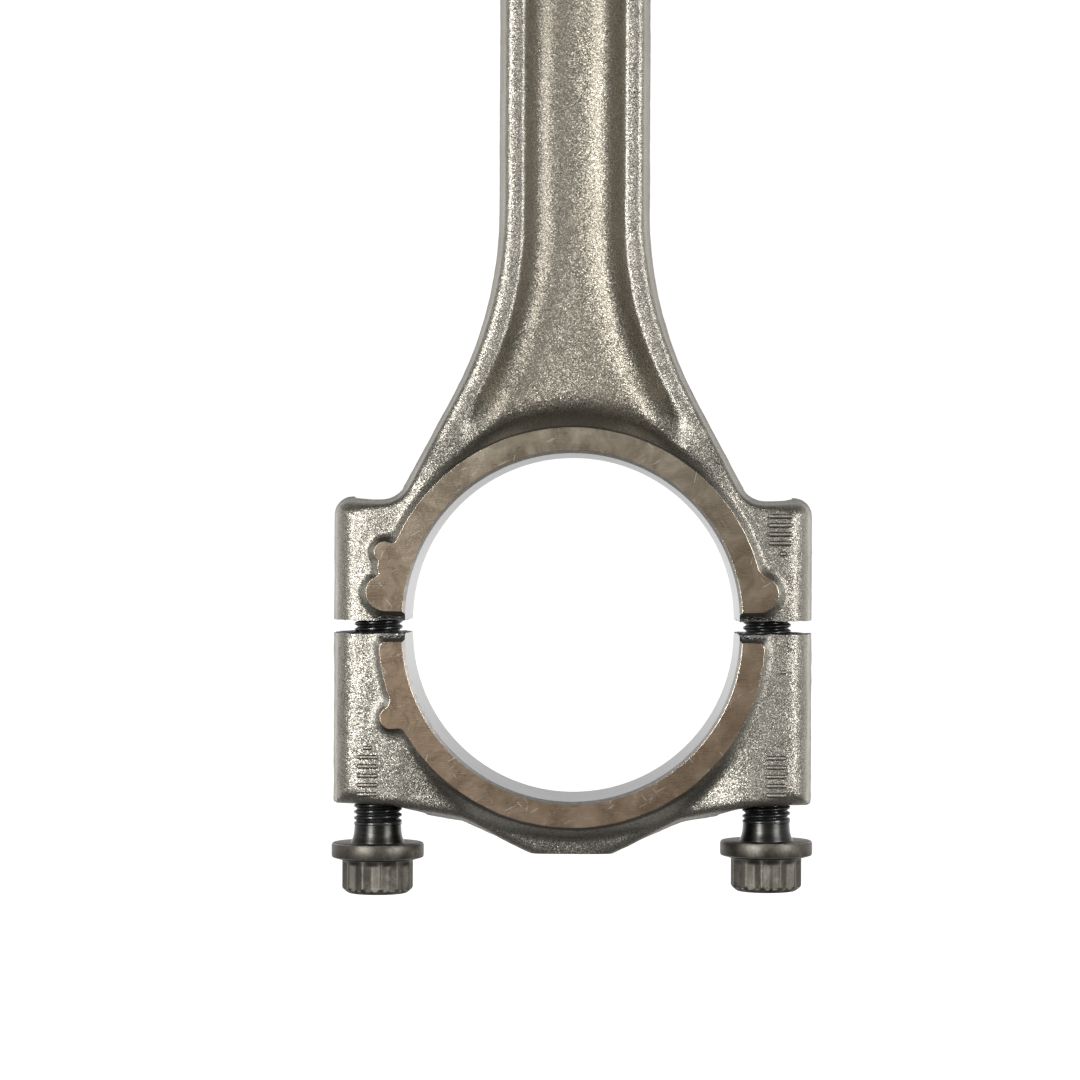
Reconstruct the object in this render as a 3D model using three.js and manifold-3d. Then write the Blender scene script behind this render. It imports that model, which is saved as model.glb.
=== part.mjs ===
// Connecting rod of a small four-stroke engine: a forged rod and cap that were made as one piece
// and cracked apart through the big end, two flanged twelve-point bolts, and a small-end bush.
// Millimetres, +Z up towards the small end, X across the bolts, Y along the crank pin.
// The shapes are drawn about the crank-pin axis, and the whole rod is then lifted onto z = 0.
import * as THREE from "three";
import { mergeVertices } from "three/addons/utils/BufferGeometryUtils.js";
import Module from "manifold-3d";

const wasm = await Module();
wasm.setup();

// Driving dimensions.
const CENTRES = 144; // crank-pin axis to piston-pin axis
const BIG_BORE_RADIUS = 27;
const BIG_END_HALF_WIDTH = 12.5; // between the two ground thrust faces
const THRUST_RADIUS = 31.2;
const BOLT_OFFSET = 32; // bolt axis from the rod's centre line
const SPLIT_GAP = 2.2; // the cap stands this far off the rod, as the bolts are slackened
const SHOULDER_HALF_SPAN = 39.2;
const SHOULDER_HEIGHT = 20;
const CAP_SEAT_DEPTH = 27.9; // from the split down to the faces that the bolt flanges clamp
const RAW_SEAT_DEPTH = { outer: 28, inner: 28.4 }; // the forged underside round those faces
const CAP_DEPTH = 35.8; // from the split down to the balance pad
const BALANCE_PAD_HALF_WIDTH = 7.2;

// The I-section shank.
const SHANK_HALF_WIDTH = 12.25;
const FLANGE_HALF_DEPTH = 8.9;
const WEB_HALF_DEPTH = 2.3;
const FLANGE_WIDTH = 4.2;
const POCKET_LEAN = 2.4;
const POCKET_LOW = 26;
const RING_WALL_RUN = 4.4;
const FLARE_SLOPE = 0.538; // sideways run for each unit of drop, below the straight shank
const FLARE_RADIUS = 65;
const FLARE_CORNER_HEIGHT = 50.7; // where the shank's side and the flare's line would meet

// Forged surfaces.
const SHOULDER_HALF_DEPTH = 11.4;
const CAP_BELLY_HALF_DEPTH = 8.7;
const DRAFT = 1.1; // how far a forged side leans in between the parting line and its top
const SIDE_LAND = 0.4; // straight part of a forged side at the parting line
const PAD_CLEAR = 1.3; // the thrust faces stop this far short of the split
const CORNER = 3;

// Raised lobes beside the thrust faces: [x, z, radius].
const MAIN_LOBE = { x: 30.5, z: 4.3, radius: 2.9 };
const ROD_DATUM_LOBE = { x: -30.3, z: 11, radius: 1.8 };
const CAP_DATUM_LOBE = { x: -29.2, z: -13.6, radius: 1.8 };

// Small end.
const EYE_RADIUS = 19.5;
const EYE_BORE_RADIUS = 14.5;
const EYE_HALF_WIDTH = 12;
const EYE_TOP_HALF_WIDTH = 7.8;
const NECK_RADIUS = 12;
const BUSH_OUTER_RADIUS = 14.4;
const PIN_RADIUS = 13;
const BUSH_RECESS = 0.25;

// M8 bolts, drawn with the flange's clamping face at z = 0 and the shank upwards.
const THREAD_RADIUS = 3.98;
const TAPPED_HOLE_RADIUS = 4.15;
const CLEARANCE_HOLE_RADIUS = 4.4;
const SPOT_FACE_RADIUS = 8.1; // round seat cut up into the cap for each bolt's flange
const BOLT_LENGTH = 46;
const BOLT_FLANGE_RADIUS = 7.6;
const BOLT_FLANGE_THICKNESS = 2.55;
const HEAD_HEIGHT = 5.8;
const HEAD_ACROSS_FLATS = 10.2;
const HEAD_POINTS = 12;
const LEFT_BACKED_OUT = 6.7; // flange face below the cap's seat
const RIGHT_BACKED_OUT = 6.1;

const CRANK_AXIS_HEIGHT =
  SPLIT_GAP + CAP_SEAT_DEPTH + LEFT_BACKED_OUT + BOLT_FLANGE_THICKNESS + HEAD_HEIGHT;

// Fineness of the curves.
const ARC_FINENESS = 1.5;
const BORE_STEPS = 96;
const HOLE_STEPS = 24;
const FAR = 60; // reaches past every face a cutter has to clear

// three.js geometry and manifold-3d solids.
function solidOf(geometry) {
  const bare = geometry.index ? geometry.toNonIndexed() : geometry.clone();
  bare.deleteAttribute("normal");
  bare.deleteAttribute("uv");
  const merged = mergeVertices(bare, 1e-4);
  return new wasm.Manifold(
    new wasm.Mesh({
      numProp: 3,
      vertProperties: merged.attributes.position.array,
      triVerts: new Uint32Array(merged.index.array),
    }),
  );
}

function geometryOf(solid) {
  const mesh = solid.getMesh();
  const geometry = new THREE.BufferGeometry();
  geometry.setAttribute("position", new THREE.BufferAttribute(mesh.vertProperties, 3));
  geometry.setIndex(new THREE.BufferAttribute(mesh.triVerts, 1));
  geometry.computeVertexNormals();
  return geometry;
}

// A closed outline through corners [x, z, radius], with each corner rounded to its radius.
function roundedOutline(corners) {
  const count = corners.length;
  const points = corners.flatMap((corner, i) =>
    roundedCorner(corners[(i + count - 1) % count], corner, corners[(i + 1) % count]),
  );
  return new THREE.Shape(points);
}

function roundedCorner(before, [x, z, radius = 0], after) {
  const here = new THREE.Vector2(x, z);
  if (radius === 0) return [here];
  const back = new THREE.Vector2(before[0] - x, before[1] - z).normalize();
  const on = new THREE.Vector2(after[0] - x, after[1] - z).normalize();
  const half = Math.acos(back.dot(on)) / 2;
  const middle = back.clone().add(on).normalize();
  const centre = here.clone().addScaledVector(middle, radius / Math.sin(half));
  const start = here.clone().addScaledVector(back, radius / Math.tan(half));
  const turn = Math.sign(-back.cross(on)) * (Math.PI - 2 * half);
  const steps = Math.max(2, Math.ceil(Math.abs(turn) * Math.sqrt(radius) * ARC_FINENESS));
  return Array.from({ length: steps + 1 }, (_, i) =>
    start.clone().rotateAround(centre, (turn * i) / steps),
  );
}

// The right-hand corners of an outline that is the same on both sides of the centre line,
// listed from the bottom up.
function mirrored(right) {
  const left = right.map(([x, z, radius]) => [-x, z, radius]).reverse();
  return roundedOutline([...right, ...left]);
}

// A plate in the XZ plane, centred on y = 0, with its edge leaning in by lean on each side.
function plate(shape, halfDepth, lean = 0) {
  const land = lean > 0 ? SIDE_LAND : 2 * halfDepth;
  const geometry = new THREE.ExtrudeGeometry(shape, {
    depth: land,
    bevelEnabled: lean > 0,
    bevelThickness: halfDepth - land / 2,
    bevelSize: lean,
    bevelOffset: -lean,
    bevelSegments: 1,
  });
  geometry.translate(0, 0, -land / 2);
  geometry.rotateX(Math.PI / 2);
  return solidOf(geometry);
}

// A cylinder along Y.
function crosswise(radius, x, z, steps, halfDepth = FAR) {
  return solidOf(
    new THREE.CylinderGeometry(radius, radius, 2 * halfDepth, steps).translate(x, 0, z),
  );
}

// A cylinder along Z, between two heights.
function upright(radius, x, bottom, top, steps = HOLE_STEPS) {
  const cylinder = new THREE.CylinderGeometry(radius, radius, top - bottom, steps);
  cylinder.rotateX(Math.PI / 2);
  return solidOf(cylinder.translate(x, 0, (bottom + top) / 2));
}

function block(x, y, z, centreX, centreY, centreZ) {
  return solidOf(new THREE.BoxGeometry(x, y, z).translate(centreX, centreY, centreZ));
}

function flareX(height, inset) {
  return SHANK_HALF_WIDTH - inset + (FLARE_CORNER_HEIGHT - height) * FLARE_SLOPE;
}

// The rod from the split to the neck of the small end.
function rodOutline() {
  const tangent = 0.636; // sine of the neck's lean where it runs into the eye
  const touchX = EYE_RADIUS * Math.sqrt(1 - tangent * tangent);
  const touchZ = CENTRES - EYE_RADIUS * tangent;
  const neckRise = ((touchX - SHANK_HALF_WIDTH) * Math.sqrt(1 - tangent * tangent)) / tangent;
  return mirrored([
    [SHOULDER_HALF_SPAN, 0],
    [SHOULDER_HALF_SPAN, SHOULDER_HEIGHT, CORNER],
    [flareX(SHOULDER_HEIGHT, 0), SHOULDER_HEIGHT, 5],
    [SHANK_HALF_WIDTH, FLARE_CORNER_HEIGHT, FLARE_RADIUS],
    [SHANK_HALF_WIDTH, touchZ - neckRise, NECK_RADIUS],
    [touchX, touchZ],
    [touchX, touchZ + 6],
  ]);
}

// The thicker shoulders that carry the bolts.
function shoulderOutline() {
  const crown = 30;
  return mirrored([
    [SHOULDER_HALF_SPAN, 0],
    [SHOULDER_HALF_SPAN, SHOULDER_HEIGHT, CORNER],
    [flareX(SHOULDER_HEIGHT, 0), SHOULDER_HEIGHT, 5],
    [flareX(crown, 0), crown],
  ]);
}

// The pocket between the flanges, on the front of the web (side 1) or the back (side -1).
// It fans out downwards and runs up a sloping wall onto the ring round the big bore.
function pocket(side) {
  const inner = SHANK_HALF_WIDTH - FLANGE_WIDTH;
  const shape = mirrored([
    [flareX(POCKET_LOW, FLANGE_WIDTH), POCKET_LOW],
    [inner, FLARE_CORNER_HEIGHT, FLARE_RADIUS],
    [inner, CENTRES - EYE_RADIUS - 4, POCKET_LEAN + 3],
  ]);
  const rise = FLANGE_HALF_DEPTH - WEB_HALF_DEPTH;
  const geometry = new THREE.ExtrudeGeometry(shape, {
    depth: rise,
    bevelThickness: rise,
    bevelSize: POCKET_LEAN,
    bevelOffset: -POCKET_LEAN,
    bevelSegments: 2,
  });
  geometry.translate(0, 0, WEB_HALF_DEPTH + rise);
  geometry.rotateX(Math.PI / 2);
  const wallTop = THRUST_RADIUS;
  const wallFoot = THRUST_RADIUS + RING_WALL_RUN;
  const ring = new THREE.CylinderGeometry(wallFoot, wallTop, rise, BORE_STEPS);
  ring.translate(0, -WEB_HALF_DEPTH - rise / 2, 0);
  if (side < 0) [geometry, ring].forEach((half) => half.rotateZ(Math.PI));
  const core = crosswise(wallTop, 0, 0, BORE_STEPS);
  return solidOf(geometry).subtract(solidOf(ring)).subtract(core);
}

// The ground faces round the big bore, one half of them: sign 1 is the rod's, -1 the cap's.
function thrustPad(sign, lobes) {
  const ring = crosswise(THRUST_RADIUS, 0, 0, BORE_STEPS, BIG_END_HALF_WIDTH);
  const discs = lobes.map((lobe) =>
    crosswise(lobe.radius, lobe.x, lobe.z, HOLE_STEPS, BIG_END_HALF_WIDTH),
  );
  const beyond = block(2 * FAR, FAR, FAR, 0, 0, sign * (FAR / 2 + PAD_CLEAR));
  return discs.reduce((sum, disc) => sum.add(disc), ring).intersect(beyond);
}

// The two sloping faces of the small end, as everything that lies between them.
function betweenEyeFaces(inset = 0) {
  const bottom = CENTRES - EYE_RADIUS;
  const top = CENTRES + EYE_RADIUS;
  const lower = EYE_HALF_WIDTH - inset;
  const upper = EYE_TOP_HALF_WIDTH - inset;
  const section = new THREE.Shape();
  section.moveTo(-lower, -FAR);
  section.lineTo(lower, -FAR);
  section.lineTo(lower, bottom);
  section.lineTo(upper, top);
  section.lineTo(upper, top + FAR);
  section.lineTo(-upper, top + FAR);
  section.lineTo(-upper, top);
  section.lineTo(-lower, bottom);
  section.closePath();
  const geometry = new THREE.ExtrudeGeometry(section, { depth: 2 * FAR, bevelEnabled: false });
  geometry.translate(0, 0, -FAR);
  geometry.rotateX(Math.PI / 2);
  geometry.rotateZ(Math.PI / 2);
  return solidOf(geometry);
}

function rodBody() {
  const shank = plate(rodOutline(), FLANGE_HALF_DEPTH, DRAFT);
  const shoulders = plate(shoulderOutline(), SHOULDER_HALF_DEPTH, DRAFT);
  const forging = shank.add(shoulders).subtract(pocket(1)).subtract(pocket(-1));
  const eye = crosswise(EYE_RADIUS, 0, CENTRES, BORE_STEPS / 2, EYE_HALF_WIDTH).intersect(
    betweenEyeFaces(),
  );
  const mirrorLobe = { ...MAIN_LOBE, x: -MAIN_LOBE.x };
  const pad = thrustPad(1, [MAIN_LOBE, mirrorLobe, ROD_DATUM_LOBE]);
  let rod = forging.add(eye).add(pad);
  rod = rod.subtract(crosswise(BIG_BORE_RADIUS, 0, 0, BORE_STEPS));
  rod = rod.subtract(crosswise(EYE_BORE_RADIUS, 0, CENTRES, BORE_STEPS / 2));
  for (const x of [-BOLT_OFFSET, BOLT_OFFSET])
    rod = rod.subtract(upright(TAPPED_HOLE_RADIUS, x, -1, SHOULDER_HEIGHT + 2));
  return rod;
}

function capOutline() {
  return mirrored([
    [BALANCE_PAD_HALF_WIDTH, -CAP_DEPTH],
    [17.6, 4.7 - CAP_DEPTH, 8],
    [27.8, -CAP_SEAT_DEPTH, 6],
    [SHOULDER_HALF_SPAN - 2, -CAP_SEAT_DEPTH],
    [SHOULDER_HALF_SPAN - 2, 0],
  ]);
}

// One of the cap's two blocks that the bolts clamp.
function capBoss(side) {
  const outer = side * SHOULDER_HALF_SPAN;
  const inner = side * (BIG_BORE_RADIUS - 3);
  const corners = [
    [inner, -RAW_SEAT_DEPTH.inner],
    [outer, -RAW_SEAT_DEPTH.outer, CORNER / 2],
    [outer, 0],
    [inner, 0],
  ];
  return plate(roundedOutline(side > 0 ? corners : corners.reverse()), SHOULDER_HALF_DEPTH, DRAFT);
}

function capBody() {
  const rim = plate(capOutline(), CAP_BELLY_HALF_DEPTH, 2 * DRAFT);
  let cap = rim.add(capBoss(-1)).add(capBoss(1));
  cap = cap.add(thrustPad(-1, [CAP_DATUM_LOBE]));
  cap = cap.subtract(crosswise(BIG_BORE_RADIUS, 0, 0, BORE_STEPS));
  for (const x of [-BOLT_OFFSET, BOLT_OFFSET]) {
    cap = cap.subtract(upright(CLEARANCE_HOLE_RADIUS, x, -CAP_SEAT_DEPTH - 3, 1));
    cap = cap.subtract(upright(SPOT_FACE_RADIUS, x, -CAP_DEPTH - 1, -CAP_SEAT_DEPTH));
  }
  return cap;
}

// A bronze tube, its ends trimmed to the slope of the small end.
function bush() {
  return crosswise(BUSH_OUTER_RADIUS, 0, CENTRES, BORE_STEPS / 2, EYE_HALF_WIDTH)
    .subtract(crosswise(PIN_RADIUS, 0, CENTRES, BORE_STEPS / 2))
    .intersect(betweenEyeFaces(BUSH_RECESS));
}

// Shank, under-head fillet and flange, turned about the bolt's axis.
function boltShank() {
  const edge = 0.4;
  const neck = 0.85 * THREAD_RADIUS;
  const profile = [
    [0, -BOLT_FLANGE_THICKNESS - 1],
    [4.4, -BOLT_FLANGE_THICKNESS - 1],
    [4.4, -BOLT_FLANGE_THICKNESS],
    [BOLT_FLANGE_RADIUS - edge, -BOLT_FLANGE_THICKNESS],
    [BOLT_FLANGE_RADIUS, edge - BOLT_FLANGE_THICKNESS],
    [BOLT_FLANGE_RADIUS, -edge],
    [BOLT_FLANGE_RADIUS - edge, 0],
    [THREAD_RADIUS + 0.35, 0],
    [THREAD_RADIUS - 0.15, 1],
    [THREAD_RADIUS, 3],
    [THREAD_RADIUS, BOLT_LENGTH - 1.5],
    [neck, BOLT_LENGTH],
    [0, BOLT_LENGTH],
  ];
  const points = profile.map(([radius, height]) => new THREE.Vector2(radius, height));
  return solidOf(new THREE.LatheGeometry(points, HOLE_STEPS).rotateX(Math.PI / 2));
}

// Twelve-point head: two hexagons turned 30 degrees apart, with the end chamfered.
function boltHead() {
  const corner = HEAD_ACROSS_FLATS / 2 / Math.cos(Math.PI / 6);
  const root = HEAD_ACROSS_FLATS / 2 / Math.cos(Math.PI / HEAD_POINTS);
  const star = new THREE.Shape();
  for (let i = 0; i < 2 * HEAD_POINTS; i += 1) {
    const angle = (i * Math.PI) / HEAD_POINTS;
    const radius = i % 2 === 0 ? corner : root;
    const x = radius * Math.cos(angle);
    const y = radius * Math.sin(angle);
    if (i === 0) star.moveTo(x, y);
    else star.lineTo(x, y);
  }
  star.closePath();
  const top = 0.3 - BOLT_FLANGE_THICKNESS;
  const end = -BOLT_FLANGE_THICKNESS - HEAD_HEIGHT;
  const prism = new THREE.ExtrudeGeometry(star, { depth: top - end, bevelEnabled: false });
  prism.translate(0, 0, end);
  const chamfer = [
    [0, end],
    [corner - 1, end],
    [corner, end + 0.8],
    [corner, top],
    [0, top],
  ];
  const points = chamfer.map(([radius, height]) => new THREE.Vector2(radius, height));
  const turned = new THREE.LatheGeometry(points, 2 * HOLE_STEPS).rotateX(Math.PI / 2);
  return solidOf(prism).intersect(solidOf(turned));
}

// Materials.
const forgedSteel = new THREE.MeshStandardMaterial({
  color: 0x9a948a,
  roughness: 0.5,
  metalness: 0.9,
});
const boltSteel = new THREE.MeshStandardMaterial({
  color: 0x4e4b47,
  roughness: 0.35,
  metalness: 0.9,
});
const bronze = new THREE.MeshStandardMaterial({
  color: 0xa98755,
  roughness: 0.3,
  metalness: 1,
});

function named(name, solid, material) {
  const mesh = new THREE.Mesh(geometryOf(solid), material);
  mesh.name = name;
  return mesh;
}

function bolt(name, x, backedOut) {
  const mesh = named(name, boltShank().add(boltHead()), boltSteel);
  mesh.position.set(x, 0, -CAP_SEAT_DEPTH - backedOut);
  return mesh;
}

const rod = new THREE.Group();
rod.add(named("rod_body", rodBody(), forgedSteel));
rod.add(named("small_end_bush", bush(), bronze));

const cap = new THREE.Group();
cap.add(named("bearing_cap", capBody(), forgedSteel));
cap.add(bolt("left_cap_bolt", -BOLT_OFFSET, LEFT_BACKED_OUT));
cap.add(bolt("right_cap_bolt", BOLT_OFFSET, RIGHT_BACKED_OUT));
cap.position.z = -SPLIT_GAP;

const connectingRod = new THREE.Group();
connectingRod.add(rod, cap);
connectingRod.position.z = CRANK_AXIS_HEIGHT;

export default connectingRod;
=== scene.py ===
"""Looks of a forged connecting rod: a cracked big end, two flanged twelve-point bolts and a bush.

Shapes are worked out in millimetres about the crank-pin axis, with Z towards the small end, X across
the bolts and Y along the crank pin, and each finished piece is then set down in the row's frame.
"""

import math

import bmesh
import bpy
import numpy as np
from mathutils import Matrix, Vector


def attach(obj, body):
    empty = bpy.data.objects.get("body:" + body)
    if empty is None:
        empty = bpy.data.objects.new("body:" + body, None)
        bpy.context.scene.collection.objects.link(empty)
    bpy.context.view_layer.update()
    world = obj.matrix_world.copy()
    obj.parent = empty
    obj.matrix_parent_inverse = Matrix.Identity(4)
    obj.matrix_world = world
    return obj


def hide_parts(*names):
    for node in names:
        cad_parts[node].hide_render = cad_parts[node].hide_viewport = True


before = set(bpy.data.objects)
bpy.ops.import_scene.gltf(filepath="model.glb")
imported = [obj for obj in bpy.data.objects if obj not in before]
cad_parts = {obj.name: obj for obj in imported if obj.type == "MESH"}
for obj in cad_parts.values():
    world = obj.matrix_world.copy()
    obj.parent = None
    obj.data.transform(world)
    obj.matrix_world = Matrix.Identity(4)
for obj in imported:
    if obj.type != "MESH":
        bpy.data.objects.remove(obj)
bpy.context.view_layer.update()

MM = 0.001
FAR = 60.0  # reaches past the big end on every side

# Dimensions shared with the CAD.
CENTRES = 144.0
BORE_RADIUS = 27.0
BIG_END_HALF_WIDTH = 12.5
THRUST_RADIUS = 31.2
BOLT_OFFSET = 32.0
SPLIT_GAP = 2.2
HALF_SPAN = 39.2
SHOULDER_TOP = 19.75
SEAT_DEPTH = 27.9
CAP_DEPTH = 35.8
SHANK_HALF_WIDTH = 12.25
FLARE_SLOPE = 0.538
FLARE_RADIUS = 65.0
FLARE_CORNER = 50.7
EYE_RADIUS = 19.5
EYE_BORE_RADIUS = 14.5
PIN_RADIUS = 13.0
EYE_HALF_WIDTH = 12.0
EYE_TOP_HALF_WIDTH = 7.8
EYE_SLOPE = (EYE_HALF_WIDTH - EYE_TOP_HALF_WIDTH) / (2 * EYE_RADIUS)
BUSH_RECESS = 0.25
FLANGE_RADIUS = 7.6
SPOT_FACE_RADIUS = 8.1
FLANGE_THICKNESS = 2.55
HEAD_HEIGHT = 5.8
HEAD_APOTHEM = 5.1
BOLT_LENGTH = 46.0
BOLT_X = {"left": -BOLT_OFFSET, "right": BOLT_OFFSET}
BACKED_OUT = {"left": 6.7, "right": 6.1}
AXIS_HEIGHT = SPLIT_GAP + SEAT_DEPTH + BACKED_OUT["left"] + FLANGE_THICKNESS + HEAD_HEIGHT

# Bores, bolt holes and threads.
BORE_CHAMFER = 0.42
EYE_CHAMFER = 0.3
EYE_BORE_HALF_WIDTH = 10.0
BUSH_CHAMFER = 0.25
BUSH_BORE_HALF_WIDTH = 9.8
PRESS_GAP = 0.02
TAPPED_RADIUS = 4.1
TAPPED_GROOVE = 0.36
CAP_HOLE_RADIUS = 4.42
CAP_HOLE_MOUTH = 0.45
THREAD_PITCH = 1.0
THREAD_TOP = 3.98
THREAD_DEPTH = 0.5
NECK_LENGTH = 3.0
BOLT_TURN = {"left": 8, "right": 21}  # degrees

# Locating lobes of the thrust faces: x, z, radius and blend.
ROD_LOBES = (
    (-30.55, 4.4, 2.75, 1.6),
    (30.55, 4.4, 2.75, 1.6),
    (-30.3, 11.0, 1.65, 1.2),
    (-29.9, 8.5, 1.5, 0.6),
)
CAP_LOBES = ((-29.2, -13.6, 1.75, 1.8),)
MARK_RADIUS = 0.38  # of the raised bars on the shoulders

# Forged surfaces.
DRAFT = 0.135  # lean of a forged side, in millimetres per millimetre
FLASH = 0.14  # height of the trimmed flash along the parting line
FLASH_HALF_WIDTH = 0.75
EDGE_BLEND = 1.25
BOSS_BLEND = 1.6
CREASE_BLEND = 0.9
FLANGE_LEVEL = 8.9
WEB_LEVEL = 2.3
SHOULDER_LEVEL = 11.4
RAW_PAD_LEVEL = 13.3
PAD_FOOT_LEVEL = 9.0
PAD_ROOT = 1.35  # how far from the crack a thrust face starts
ROUND_START = 33.0  # where a shoulder's front begins to fall away
ROUND_SCALE = 26.0
CRACK_GRAIN = ((0.16, 3.1, 0.0), (0.11, 1.3, 0.0), (0.07, 0.62, 5.0))  # height, size and shift
MARGIN = 2.5  # of the maps, around the plan
CELL = 0.5
MAP_STEP = 0.125
CRACK_STEP = 0.34
ARC_FINENESS = 2.2
BATCH = 20000  # points whose distance is worked out at once
NOISE_CELLS = 64
NOISE_SHIFT = 17.3

# The studio, in metres and as brightness. The cap and its bolts can be drawn 110 mm down, and the
# floor lies below them. In reflections it is dark in front of the object and bright far behind it.
FLOOR_LEVEL = -0.115
FLOOR_HALF_SIZE = 6.0
FLOOR_DARK = 0.10
FLOOR_BEHIND = 0.55
BACKDROP_LIGHT = 1.65
ROOM_DARK = 0.11
SIDE_GLOW = 1.1
FRONT_FILL = 0.30

# Softboxes: name, x, y and width in millimetres, and power in watts.
SOFTBOXES = (("left softbox", -402, -605, 200, 6.23), ("right softbox", 548, -436, 300, 4.13))
SOFTBOX_HEIGHT = 356
SOFTBOX_COLOUR = (0.975, 1.0, 1.035)

# The camera: its place in millimetres from the crank pin, shift in picture widths, roll in degrees.
CAMERA_PLACE = (4.1, -544.5, 8.5)
CAMERA_LENS = 110.1
CAMERA_SHIFT = (-0.0537, 0.02593)
CAMERA_ROLL = 0.25

rng = np.random.default_rng(41)


# ---- outlines and smooth blends
def rounded(corners):
    """Points of a closed outline through corners (x, z, radius), each rounded to its radius."""
    points = []
    count = len(corners)
    for i, (x, z, radius) in enumerate(corners):
        here = np.array([x, z], float)
        if radius == 0:
            points.append(here)
            continue
        back = np.array(corners[i - 1][:2], float) - here
        on = np.array(corners[(i + 1) % count][:2], float) - here
        back /= np.linalg.norm(back)
        on /= np.linalg.norm(on)
        half = math.acos(np.clip(back @ on, -1, 1)) / 2
        middle = (back + on) / np.linalg.norm(back + on)
        centre = here + middle * radius / math.sin(half)
        start = here + back * radius / math.tan(half) - centre
        turn = -np.sign(back[0] * on[1] - back[1] * on[0]) * (math.pi - 2 * half)
        steps = max(3, math.ceil(abs(turn) * math.sqrt(radius) * ARC_FINENESS))
        for angle in np.linspace(0, turn, steps + 1):
            c = math.cos(angle)
            s = math.sin(angle)
            points.append(centre + [start[0] * c - start[1] * s, start[0] * s + start[1] * c])
    return np.array(points)


def mirrored(right):
    """The symmetrical outline whose right-hand corners are listed from the bottom up."""
    return rounded(right + [(-x, z, radius) for x, z, radius in reversed(right)])


def outline_distance(x, z, outline):
    """Signed distance to a closed outline, negative inside it."""
    edge = np.roll(outline, -1, 0) - outline
    length = (edge**2).sum(1)
    keep = length > 1e-12
    corner, edge, length = outline[keep], edge[keep], length[keep]
    flat_x, flat_z = x.ravel(), z.ravel()
    result = np.empty(flat_x.size)
    for low in range(0, flat_x.size, BATCH):
        batch = slice(low, low + BATCH)
        px = flat_x[batch, None] - corner[:, 0]
        pz = flat_z[batch, None] - corner[:, 1]
        along = np.clip((px * edge[:, 0] + pz * edge[:, 1]) / length, 0, 1)
        gap = (px - along * edge[:, 0]) ** 2 + (pz - along * edge[:, 1]) ** 2
        crosses = (pz < 0) != (pz < edge[:, 1])
        side = px * edge[:, 1] - pz * edge[:, 0]
        inside = (crosses & ((side < 0) == (edge[:, 1] > 0))).sum(1) % 2 == 1
        result[batch] = np.sqrt(gap.min(1)) * np.where(inside, -1, 1)
    return result.reshape(x.shape)


def disc_distance(x, z, centre_x, centre_z, radius):
    return np.hypot(x - centre_x, z - centre_z) - radius


def smooth_max(a, b, blend):
    overlap = np.maximum(blend - np.abs(a - b), 0) / blend
    return np.maximum(a, b) + overlap * overlap * blend / 4


def smooth_min(a, b, blend):
    return -smooth_max(-a, -b, blend)


def smooth_step(value, low, high):
    t = np.clip((value - low) / (high - low), 0, 1)
    return t * t * (3 - 2 * t)


def wall(run, top, floor, radius, lean):
    """Height over a drafted wall with a round foot, by the distance run out from the wall's top."""
    sine, cosine, slope = np.sin(lean), np.cos(lean), np.tan(lean)
    foot = (top - floor - radius * (1 - sine)) * slope + radius * cosine
    to_floor = np.clip(foot - run, 0, radius * cosine)
    arc = floor + radius - np.sqrt(np.maximum(radius**2 - to_floor**2, 0))
    return np.where(run < foot - radius * cosine, top - run / slope, arc)


def flare_x(height, inset):
    """Where the shank's flaring side is at a height, set in from the outside."""
    return SHANK_HALF_WIDTH - inset + (FLARE_CORNER - height) * FLARE_SLOPE


# ---- the forgings
def plan_grid(low, high):
    """Grid lines across and up a plan, and the grid's points in the right half and in the whole."""
    half = np.arange(0, HALF_SPAN + MARGIN, MAP_STEP)
    across = np.concatenate([-half[:0:-1], half])
    up = np.arange(low, high, MAP_STEP)
    right = np.meshgrid(half, up, indexing="ij")
    whole = np.meshgrid(across, up, indexing="ij")
    return across, up, right, whole


def both_sides(values):
    """Values over the right half of a plan, mirrored to its left half."""
    return np.concatenate([values[:0:-1], values])


def shoulder_drop(x):
    """How far a shoulder's front falls away towards its end."""
    return np.maximum(np.abs(x) - ROUND_START, 0) ** 2 / ROUND_SCALE


def thrust_pad(x, z, radius, lobes):
    """Plan distance of a thrust face and its lobes."""
    pad = disc_distance(x, z, 0, 0, radius)
    for lobe_x, lobe_z, lobe_radius, blend in lobes:
        pad = smooth_min(pad, disc_distance(x, z, lobe_x, lobe_z, lobe_radius), blend)
    return pad


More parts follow.
